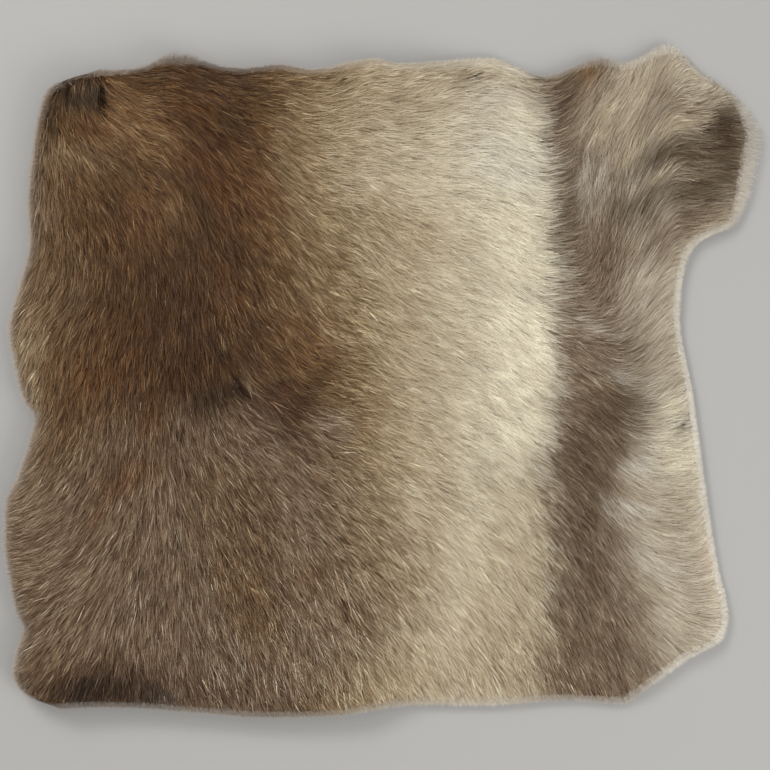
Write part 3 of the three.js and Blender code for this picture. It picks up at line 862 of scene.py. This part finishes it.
def lay_hair(hide, name, w, v, combed, width, heights, tints, rng, material):
    """Lays one flat tapered ribbon along each hair's path. It rises from the first to the last of
    the heights, which are shares of the coat's height, narrows to a point at its tip, and is
    rolled a little to one side."""
    path, base_y, tall = combed
    stations = len(path) - 1
    roll = rng.normal(0, HAIR_ROLL, len(w))
    lifted = (1 - rng.random(len(w)) ** 2 * PRESSED_HAIR) * (1 - PARTED_HAIR * parted(w, base_y))
    points, shares, halves = [], [], []
    for i, at in enumerate(path):
        share = i / stations
        ahead = path[min(i + 1, stations)] - path[max(i - 1, 0)]
        ahead = ahead / np.maximum(np.linalg.norm(ahead, axis=-1, keepdims=True), 1e-9)
        side = np.stack([-ahead[:, 1], ahead[:, 0]], -1)
        half = 0.5 * width * (1 - share) ** 0.55 * (0.75 + 0.5 * share)
        height = np.interp(share, np.linspace(0, 1, len(heights)), heights) * (lifted if i else 1)
        for sign in (1, -1) if i < stations else (0,):
            spot = at + side * (sign * half)[:, None]
            rise = sign * half * np.sin(roll) / hide.upper_pile
            spot_v = v + (spot[:, 1] - base_y) / tall
            points.append(place(hide, spot[:, 0], spot_v, 1.0, height + rise))
            shares.append(np.full(len(w), share))
            halves.append(np.full(len(w), float(sign)))
    per = len(points)
    triangles = []
    for i in range(stations - 1):
        left, right, next_left, next_right = 2 * i, 2 * i + 1, 2 * i + 2, 2 * i + 3
        triangles += [(left, right, next_right), (left, next_right, next_left)]
    triangles.append((per - 3, per - 2, per - 1))
    faces = (np.arange(len(w))[:, None, None] * per + np.array(triangles)).reshape(-1, 3)
    share, half = np.stack(shares, 1).ravel(), np.stack(halves, 1).ravel()
    piece = new_piece(name, np.stack(points, 1).reshape(-1, 3), faces, material)
    w, base_y, root, tip, light_tipped = (np.repeat(a, per, 0) for a in (w, base_y, *tints))
    give_colours(piece, root_colour=root, tip_colour=tip, share=share)
    give_map(piece, hair_uv(w, base_y, tip, light_tipped, share, half))
    return piece


class Knot:
    """A socket of a material's nodes, with which expressions add Math nodes."""

    def __init__(self, material, socket):
        self.material, self.socket = material, socket

    def maths(self, operation, *values):
        return self.material.node("ShaderNodeMath", {"operation": operation}, *values)

    def __add__(self, other):
        return self.maths("ADD", self, other)

    def __mul__(self, other):
        return self.maths("MULTIPLY", self, other)

    def __pow__(self, other):
        return self.maths("POWER", self, other)


MIX_SHARE, MIX_FIRST, MIX_SECOND, MIX_RESULT = 0, 6, 7, 2  # the colour sockets of a Mix node


class Finish:
    """A material and its nodes."""

    def __init__(self, name, roughness):
        self.material = bpy.data.materials.new(name)
        self.material.use_nodes = True
        self.tree = self.material.node_tree
        self.shader = self.tree.nodes["Principled BSDF"]
        self.shader.inputs["Roughness"].default_value = roughness

    def node(self, kind, settings, *values, output=0, **named):
        """Adds a node of this type, with its settings first and then its sockets' values."""
        made = self.tree.nodes.new(kind)
        for name, value in settings.items():
            setattr(made, name, value)
        for key, value in (*enumerate(values), *named.items()):
            self.feed(made.inputs[key], value)
        return Knot(self, made.outputs[output])

    def feed(self, socket, value):
        if isinstance(value, Knot):
            self.tree.links.new(value.socket, socket)
        elif value is not None:
            socket.default_value = value

    def set(self, socket, value):
        self.feed(self.shader.inputs[socket], value)

    def mix(self, share, first, second, blend="MIX"):
        """Mixes two colours."""
        made = self.tree.nodes.new("ShaderNodeMix")
        made.data_type, made.blend_type = "RGBA", blend
        for key, value in ((MIX_SHARE, share), (MIX_FIRST, first), (MIX_SECOND, second)):
            self.feed(made.inputs[key], value)
        return Knot(self, made.outputs[MIX_RESULT])

    def attribute(self, name, output):
        return self.node("ShaderNodeAttribute", {"attribute_name": name}, output=output)

    def noise(self, scale, detail=2.0, stretch=(1, 1, 1)):
        spot = self.node("ShaderNodeTexCoord", {}, output="Object")
        spread = self.node("ShaderNodeMapping", {}, Vector=spot, Scale=stretch)
        return self.node(
            "ShaderNodeTexNoise", {}, Vector=spread, Scale=scale, Detail=detail, output="Fac"
        )


def colour4(colour):
    return (*colour, 1.0)


def hair_finish(name):
    """Hair that turns from the colour of its root to that of its tip, unevenly."""
    finish = Finish(name, 0.55)
    root = finish.attribute("root_colour", "Color")
    tip = finish.attribute("tip_colour", "Color")
    share = finish.attribute("share", "Fac")
    grain = finish.noise(420.0, 3.0)
    light = grain * 0.24 + 0.88
    grey = finish.node("ShaderNodeCombineColor", {}, light, light, light)
    finish.set("Base Color", finish.mix(1.0, finish.mix(share ** 1.2, root, tip), grey, "MULTIPLY"))
    finish.shader.inputs["Specular IOR Level"].default_value = 0.20
    return finish.material


def undercoat_finish():
    """The matted wool under the hair."""
    finish = Finish("undercoat_wool", 0.9)
    coat = finish.attribute("coat", "Color")
    fine = finish.noise(900.0, 4.0)
    coarse = finish.noise(160.0, 3.0)
    light = fine * 0.55 + coarse * 0.45 + 0.25
    grey = finish.node("ShaderNodeCombineColor", {}, light, light, light)
    finish.set("Base Color", finish.mix(1.0, coat, grey, "MULTIPLY"))
    bump = finish.node("ShaderNodeBump", {}, Strength=0.6, Distance=0.002, Height=fine + coarse)
    finish.set("Normal", bump)
    return finish.material


def skin_finish(colours):
    """Suede of the flesh side, mottled, with fine pits and drawn creases."""
    finish = Finish("tanned_skin", 0.8)
    mottle = finish.noise(28.0, 4.0)
    fibre = finish.noise(1400.0, 3.0)
    creases = finish.noise(60.0, 2.0, (1, 0.35, 1))
    flesh = colours.flesh
    dark = tuple(c * 0.62 for c in flesh)
    finish.set("Base Color", finish.mix(mottle * 0.7 + fibre * 0.3, colour4(dark), colour4(flesh)))
    finish.set("Roughness", fibre * 0.2 + 0.7)
    bump = finish.node("ShaderNodeBump", {}, Strength=0.5, Distance=0.001, Height=fibre * 0.5 + creases)
    finish.set("Normal", bump)
    return finish.material


def settings():
    """The sizes and the colours that the scene holds."""
    scene = bpy.context.scene
    return scene.reindeer_hide_sizes, scene.reindeer_hide_colours


def free_line(hide, v):
    """Where the lower layer ends, along the unrolled hide."""
    return 2 * fold_line(hide, v) - hide.fold_girth - along(UNDER_EDGE, nominal_y(v))


def sheet_grid(hide, rows, columns):
    """Places (w, v) evenly over the whole unrolled hide, row by row from the belly edge to the
    free edge, and their share of the way between those edges."""
    v, t = np.meshgrid(np.linspace(0, 1, rows), np.linspace(0, 1, columns), indexing="ij")
    start = along(BELLY_EDGE, nominal_y(v))
    w = start + (free_line(hide, v) - start) * t
    return w.ravel(), v.ravel(), t.ravel()


def grid_faces(rows, columns):
    """Quads of a grid whose columns run towards -w, facing out of the coat."""
    at = np.arange(rows * columns).reshape(rows, columns)
    return np.stack([at[:-1, :-1], at[1:, :-1], at[1:, 1:], at[:-1, 1:]], -1).reshape(-1, 4)


def border(rows, columns):
    """The points round a grid's border, in order."""
    at = np.arange(rows * columns).reshape(rows, columns)
    return np.concatenate([at[0, :-1], at[:-1, -1], at[-1, :0:-1], at[:0:-1, 0]])


SKIN_GRID = (72, 118)  # rows and columns of points
WOOL_GRID = (104, 168)


class HIDE_OT_skin(bpy.types.Operator):
    """Makes the tanned skin as a closed folded sheet"""

    bl_idname = "reindeer_hide.skin"
    bl_label = "Tanned Skin"

    def execute(self, context):
        hide, colours = settings()
        w, v, _ = sheet_grid(hide, *SKIN_GRID)
        outer = place(hide, w, v, 1.0, 0.0)
        inner = place(hide, w, v, 0.0, 0.0)
        faces = grid_faces(*SKIN_GRID)
        count = len(outer)
        edge = border(*SKIN_GRID)
        after = np.roll(edge, -1)
        wall = np.stack([edge, after, after + count, edge + count], -1)
        faces = np.concatenate([faces, faces[:, ::-1] + count, wall])
        skin = new_piece("hide_skin", np.concatenate([outer, inner]), faces, skin_finish(colours))
        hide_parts(NODE)
        return {"FINISHED"}


BACK_RIM_LIGHT = 0.34  # how far painted rim light takes the hair at the back's edges towards the rim's colour
MORE_RIM_LIGHT = table("low high more", (-0.10, 0.10, 0.20), (0.24, 0.32, 0.38))  # more painted rim light on the side, the belly
LESS_RIM_LIGHT = 0.3  # share of all this painted rim light that is lost at the shoulder edge
RIM_LIGHT_STRENGTH = 0.8  # how far the edge's colour, painted rim light, takes over at the outline
LIGHT_COAT = 0.6  # brightness from which a coat counts as light
LIGHT_TINT = 0.86  # how dark a light coat is at its roots
UNDERCOAT_TINT = np.array((0.56, 0.45, 0.33))  # how dark the wool of a dark coat is
ROOT_TINT = np.array((0.58, 0.48, 0.37))  # how dark the roots of its hair are


def rim_light_colour(colours, coat, w, y, more=0.0):
    """Colour of the hair at the edges with painted rim light: nearer to the rim's colour on the side
    than on the back, nearest at the belly, and less near towards the shoulder edge."""
    share = BACK_RIM_LIGHT
    for part in MORE_RIM_LIGHT:
        share = share + part.more * smooth_step(w, part.low, part.high)
    share = (share + more) * (1 - LESS_RIM_LIGHT * smooth_step(y, 0.05, 0.20))
    return coat + (np.array(colours.rim) - coat) * share[:, None]


def wisp_of(w, y):
    """How much farther the fringe stands out at a place."""
    return sum(wisp.more * spot_share(w, y, wisp) for wisp in WISPS)


def rim_light_share(hide, w, v, coat):
    """How far the hair takes the edge's colour, painted rim light, by its distance from the outline.
    The painted rim light is wider where the coat is light, and where the fringe stands out farther."""
    width = hide.rim_light_width * (0.8 + 1.8 * coat.mean(-1)) + 0.5 * wisp_of(w, row_y(w, v))
    return RIM_LIGHT_STRENGTH * (1 - smooth_step(from_outline(hide, w, v), 0.001, width))


def base_colour(coat, tint):
    """Colour low in the coat: tinted darker, less so where the coat is light."""
    light = np.clip(coat.mean(-1, keepdims=True) / LIGHT_COAT, 0, 1)
    return coat * (tint + (LIGHT_TINT - tint) * light)


WOOL_HEIGHT = 0.50  # share of the coat's height
WOOL_EDGE = 0.005  # how far in from an edge the wool has its full height
WOOL_LUMPS = table("height grain seed", (0.06, 0.007, 31), (0.04, 0.016, 32))
WOOL_PARTED = 0.8  # how much of its height the wool loses in a parting
WOOL_PARTING_SHADE = 0.9  # painted shade: how much the wool in a parting is darkened


class HIDE_OT_undercoat(bpy.types.Operator):
    """Makes the matted wool that fills the coat under the hair"""

    bl_idname = "reindeer_hide.undercoat"
    bl_label = "Undercoat"

    def execute(self, context):
        hide, colours = settings()
        w, v, t = sheet_grid(hide, *WOOL_GRID)
        y = flat_y(w, v)
        height = with_noise(WOOL_HEIGHT, WOOL_LUMPS, w, y)
        height = height * smooth_step(inside(hide, w, v), -0.001, WOOL_EDGE)
        points = place(hide, w, v, 1.0, height * (1 - WOOL_PARTED * parted(w, y)))
        wool = new_piece("hide_undercoat", points, grid_faces(*WOOL_GRID), undercoat_finish())
        hair = coat_colour(colours, w, y)
        # Painted rim light: near the outline the wool takes the edge's colour.
        pale = rim_light_share(hide, w, v, hair)[:, None]
        # Painted shade: the wool in a parting is darkened.
        coat = base_colour(hair, UNDERCOAT_TINT) * (1 - WOOL_PARTING_SHADE * parted(w, y))[:, None]
        give_colours(wool, coat=coat + (rim_light_colour(colours, hair, w, y) - coat) * pale)
        give_map(wool, np.stack([t, v], -1))
        return {"FINISHED"}


SHOWN_AT = 0.6  # the share of a hair's length whose place gives its colour
COLOUR_STRAY = 0.0028  # about how far from there the colour is taken
TONE_HUE = (0.85, 1.0, 1.15)  # lighter hairs are greyer, darker hairs warmer
HAIR_TONES = (0.14, 0.34)  # how much hairs differ in a light coat, and how much more in a dark one
LOCK_TONES = (0.30, 0.60)  # the same of locks
TONE_WAVES = table("height grain seed", (0.08, 0.020, 41))
DARK_SHARE = 0.10  # share of the hairs that are darkest
DARK_HAIR = 0.48  # their tone
HAIR_PARTING_SHADE = 0.93  # painted shade: how much a hair in a parting is darkened


def hair_colours(hide, colours, w, v, combed, light, uneven, rng):
    """Colours of each hair's root and tip, and which hairs have a light tip. The colour is that of
    the coat near the place where the hair shows, paler near the outline with painted rim light and
    darkened with painted shade in a parting.
    The hairs differ more towards the rump. A light tip goes part of the way to the tips' own
    colour, dimmed where the coat is dark and mixed with a lighter tone of the coat."""
    path, base_y, tall = combed
    count = len(w)
    at = path[0] + (path[-1] - path[0]) * SHOWN_AT
    coat = coat_colour(colours, *(at + rng.normal(0, COLOUR_STRAY, at.shape)).T)
    # Painted rim light: hairs near the outline take the edge's colour.
    pale = rim_light_share(hide, at[:, 0], v + (at[:, 1] - base_y) / tall, coat)[:, None]
    edge = rim_light_colour(colours, coat, *at.T) * rng.uniform(0.85, 1.10, count)[:, None]
    _, chance = locks_near(w, base_y, hide.lock_size, hide.seed)
    dim = 1 - np.clip(coat.mean(-1) / LIGHT_COAT, 0, 1)
    uneven = uneven * (1 - 0.8 * base_y)
    differ = uneven * rng.normal(0, 1, count) * (HAIR_TONES[0] + HAIR_TONES[1] * dim)
    differ = differ + (chance[:, 1] - 0.5) * (LOCK_TONES[0] + LOCK_TONES[1] * dim)
    tone = np.exp(with_noise(differ, TONE_WAVES, *at.T))
    tone = tone * np.where(rng.random(count) > 1 - DARK_SHARE, DARK_HAIR, 1.0)
    coat = coat * tone[:, None] ** np.array(TONE_HUE)
    light_tipped = (rng.random(count) < light).astype(float)
    goal = np.array(colours.tip) * np.minimum(coat.mean(-1, keepdims=True) * 3.0 + 0.06, 1)
    goal = goal * 0.6 + np.minimum(coat * 2.4, 1) * 0.4
    tip = coat * 1.04 + (goal - coat) * (light_tipped * rng.uniform(0.15, 0.90, count))[:, None]
    root = base_colour(coat, ROOT_TINT)
    root, tip = root + (edge * 0.85 - root) * pale, tip + (edge - tip) * pale
    # Painted shade: hairs in a parting are darkened.
    dark = (1 - HAIR_PARTING_SHADE * parted(w, base_y))[:, None]
    return root * dark, tip * dark, light_tipped


class HIDE_OT_coat(bpy.types.Operator):
    """Combs the hair over both layers and round the fold, strip by strip"""

    bl_idname = "reindeer_hide.coat"
    bl_label = "Combed Hair"

    def execute(self, context):
        hide, colours = settings()
        finish = hair_finish("reindeer_hair")
        for number, strip in enumerate(STRIPS):
            rng = np.random.default_rng(hide.seed + number)
            across = np.arange(strip.low, strip.high, strip.spacing)
            down = np.arange(0, 1, strip.spacing / (HIGH_Y - LOW_Y))
            w, v = (a.ravel() for a in np.meshgrid(across, down))
            w = w + rng.uniform(-0.5, 0.5, w.shape) * strip.spacing
            v = v + rng.uniform(-0.5, 0.5, w.shape) * strip.spacing / (HIGH_Y - LOW_Y)
            kept = (inside(hide, w, v) > 0) & (w >= strip.low) & (w < strip.high)
            w, v = w[kept], v[kept]
            order = rng.permutation(len(w))
            w, v = w[order], v[order]
            y = flat_y(w, v)
            long = strip.length * rng.uniform(0.75, 1.2, len(w))
            for spot in LONGER:
                long = long * (1 + spot.more * spot_share(w, y, spot))
            combed = comb(hide, w, v, lie, long, strip.stretches, strip.uneven, rng, 0.001)
            tints = hair_colours(hide, colours, w, v, combed, strip.light, strip.uneven, rng)
            wide = strip.width * rng.uniform(0.75, 1.25, len(w))
            heights = (strip.root, strip.middle, strip.tip)
            lay_hair(hide, strip.name, w, v, combed, wide, heights, tints, rng, finish)
        return {"FINISHED"}


EDGE_POINTS = 600
FOLD_LEVEL = 0.47  # share of the fold's turn, from the upper layer, where its fringe is rooted


def edge_line(hide, fringe):
    """The line that a fringe follows, along one of the hide's borders or the middle of the fold,
    as a close row of points (w, y), and v at each of them."""
    share = np.linspace(0, 1, EDGE_POINTS)
    free, belly = free_line(hide, share), along(BELLY_EDGE, nominal_y(share))
    if fringe == "cut_fringe":
        w, v = free[0] + (belly[0] - free[0]) * share, np.zeros(EDGE_POINTS)
    elif fringe == "shoulder_fringe":
        w, v = free[-1] + (belly[-1] - free[-1]) * share, np.ones(EDGE_POINTS)
    else:
        fold = fold_line(hide, share) - FOLD_LEVEL * hide.fold_girth
        w, v = {"belly_fringe": belly, "free_fringe": free, "fold_fringe": fold}[fringe], share
    return np.stack([w, flat_y(w, v)], -1), v


FRINGE_SEED = 100  # keeps the fringe's random numbers apart from the coat's
FRINGE_ROOT = 0.85  # share of the coat's height at the fringe's roots
FRINGE_SWAY = 0.30  # radians that its hairs turn apart
FRINGE_RIM_LIGHT = 0.08  # how much more painted rim light it gets than the coat's edge
FRINGE_STRAY = 0.015  # how far its ends fade out along the fold, as a share of it
SLOPE_STEP = 0.002  # how far to either side of a hair the edge's slope is taken


class HIDE_OT_fringe(bpy.types.Operator):
    """Sets the short hairs that stand out round every edge and along the fold, pale with painted rim light
    """

    bl_idname = "reindeer_hide.fringe"
    bl_label = "Pale Fringe"

    def execute(self, context):
        hide, colours = settings()
        finish = hair_finish("fringe_hair")
        for number, edge in enumerate(FRINGES):
            rng = np.random.default_rng(hide.seed + FRINGE_SEED + number)
            line, line_v = edge_line(hide, edge.name)
            run = np.concatenate([[0], np.cumsum(np.linalg.norm(np.diff(line, axis=0), axis=-1))])
            count = int(run[-1] / edge.spacing)
            at = rng.uniform(edge.start, edge.end, count)
            on_fold = edge.name == "fold_fringe"
            if on_fold:
                at = np.clip(at + rng.normal(0, FRINGE_STRAY, count), 0.01, 0.99)
            at = at * run[-1]
            before, spot, after = (
                np.stack([np.interp(at + step, run, part) for part in line.T], -1)
                for step in (-SLOPE_STEP, 0, SLOPE_STEP)
            )
            slope = after - before
            normal = edge.side * np.stack([slope[:, 1], -slope[:, 0]], -1)
            normal = normal / np.linalg.norm(normal, axis=-1, keepdims=True)
            deep = (edge.depth + 0.4 * wisp_of(*spot.T)) * rng.random(count) ** 1.3
            root = spot - normal * deep[:, None]
            w = root[:, 0]
            v = np.interp(at, run, line_v) - normal[:, 1] * deep / reach_y(w)
            if not on_fold:
                v = np.clip(v, 0, 1)
            y = flat_y(w, v)
            flow = normal + edge.lie * lie(w, y)
            flow = flow / np.linalg.norm(flow, axis=-1, keepdims=True)
            flow = turned(flow, rng.normal(0, FRINGE_SWAY, count))
            more = wisp_of(w, y)
            long = (edge.length + more) * (0.5 + 0.9 * rng.random(count) ** 2)
            combed = comb(
                hide, w, v, lambda *_, flow=flow: flow, long, 1, 0, rng, edge.beyond + more
            )
            coat = coat_colour(colours, w, y)
            # Painted rim light: the fringe takes the edge's colour.
            tip = rim_light_colour(colours, coat, w, y, FRINGE_RIM_LIGHT)
            tip = tip * rng.uniform(0.75, 1.20, count)[:, None]
            tints = tip + (coat - tip) * edge.blend, tip, np.zeros(count)
            wide = edge.width * rng.uniform(0.7, 1.3, count)
            heights = (FRINGE_ROOT, edge.tip)
            lay_hair(hide, edge.name, w, v, combed, wide, heights, tints, rng, finish)
        return {"FINISHED"}


CAMERA_HEIGHT = 2.4
VIEW_MIDDLE = (0.005, -0.004)
VIEW_WIDTH = 0.770  # how much shows at the level of the coat's top
COAT_TOP = 0.035
SENSOR = 36.0  # width of the camera's sensor, in millimetres
FLOOR_REACH = 40.0
LIGHT_COLOUR = (1.0, 0.975, 0.94)
LIGHTS = table(
    "name x y z power width",
    ("key_light", -1.2, 1.3, 2.0, 30.0, 0.9),
    ("fill_light", 1.5, -1.1, 1.7, 24.0, 1.4),
    ("top_light", 0.0, 0.0, 3.2, 28.0, 2.4),
)
SKY_COLOUR = (1.0, 0.98, 0.95)
SKY_STRENGTH = 0.35


class HIDE_OT_stage(bpy.types.Operator):
    """Sets the pale floor, the soft lights and the camera"""

    bl_idname = "reindeer_hide.stage"
    bl_label = "Stage"

    def execute(self, context):
        _, colours = settings()
        scene = context.scene
        signs = ((-1, -1), (1, -1), (1, 1), (-1, 1))
        corners = [(x * FLOOR_REACH, y * FLOOR_REACH, 0) for x, y in signs]
        mesh = bpy.data.meshes.new("floor")
        mesh.from_pydata(corners, [], [(0, 1, 2, 3)])
        floor = bpy.data.objects.new("floor", mesh)
        scene.collection.objects.link(floor)
        finish = Finish("plain_floor", 0.9)
        grain = finish.noise(30.0, 2.0)
        light, dark = colour4(colours.floor), colour4([c * 0.93 for c in colours.floor])
        finish.set("Base Color", finish.mix(grain * 0.1, light, dark))
        mesh.materials.append(finish.material)
        for light in LIGHTS:
            lamp = bpy.data.lights.new(light.name, "AREA")
            lamp.energy, lamp.size, lamp.color = light.power, light.width, LIGHT_COLOUR
            ob = bpy.data.objects.new(light.name, lamp)
            ob.location = (light.x, light.y, light.z)
            scene.collection.objects.link(ob)
            ob.rotation_euler = ob.location.to_track_quat("Z", "Y").to_euler()
        world = bpy.data.worlds.new("studio")
        world.use_nodes = True
        sky = world.node_tree.nodes["Background"]
        sky.inputs["Color"].default_value = colour4(SKY_COLOUR)
        sky.inputs["Strength"].default_value = SKY_STRENGTH
        scene.world = world
        camera = bpy.data.objects.new("camera", bpy.data.cameras.new("camera"))
        camera.location = (*VIEW_MIDDLE, CAMERA_HEIGHT)
        camera.data.sensor_width = SENSOR
        camera.data.lens = SENSOR * (CAMERA_HEIGHT - COAT_TOP) / VIEW_WIDTH
        scene.collection.objects.link(camera)
        scene.camera = camera
        scene.view_settings.view_transform = "Standard"
        return {"FINISHED"}


class HIDE_PT_panel(bpy.types.Panel):
    """Lists the pieces of the hide"""

    bl_idname = "HIDE_PT_panel"
    bl_label = "Reindeer Hide"
    bl_space_type = "VIEW_3D"
    bl_region_type = "UI"
    bl_category = "Hide"

    def draw(self, context):
        for step in STEPS:
            self.layout.operator(step.bl_idname)


STEPS = (HIDE_OT_stage, HIDE_OT_undercoat, HIDE_OT_coat, HIDE_OT_fringe, HIDE_OT_skin)
CLASSES = (HideSizes, HideColours, *STEPS, HIDE_PT_panel)


def register():
    for cls in CLASSES:
        bpy.utils.register_class(cls)
    bpy.types.Scene.reindeer_hide_sizes = PointerProperty(type=HideSizes)
    bpy.types.Scene.reindeer_hide_colours = PointerProperty(type=HideColours)


def unregister():
    del bpy.types.Scene.reindeer_hide_sizes
    del bpy.types.Scene.reindeer_hide_colours
    for cls in reversed(CLASSES):
        bpy.utils.unregister_class(cls)


def main():
    register()
    for step in STEPS:
        family, name = step.bl_idname.split(".")
        getattr(getattr(bpy.ops, family), name)()


if __name__ == "__main__":
    main()
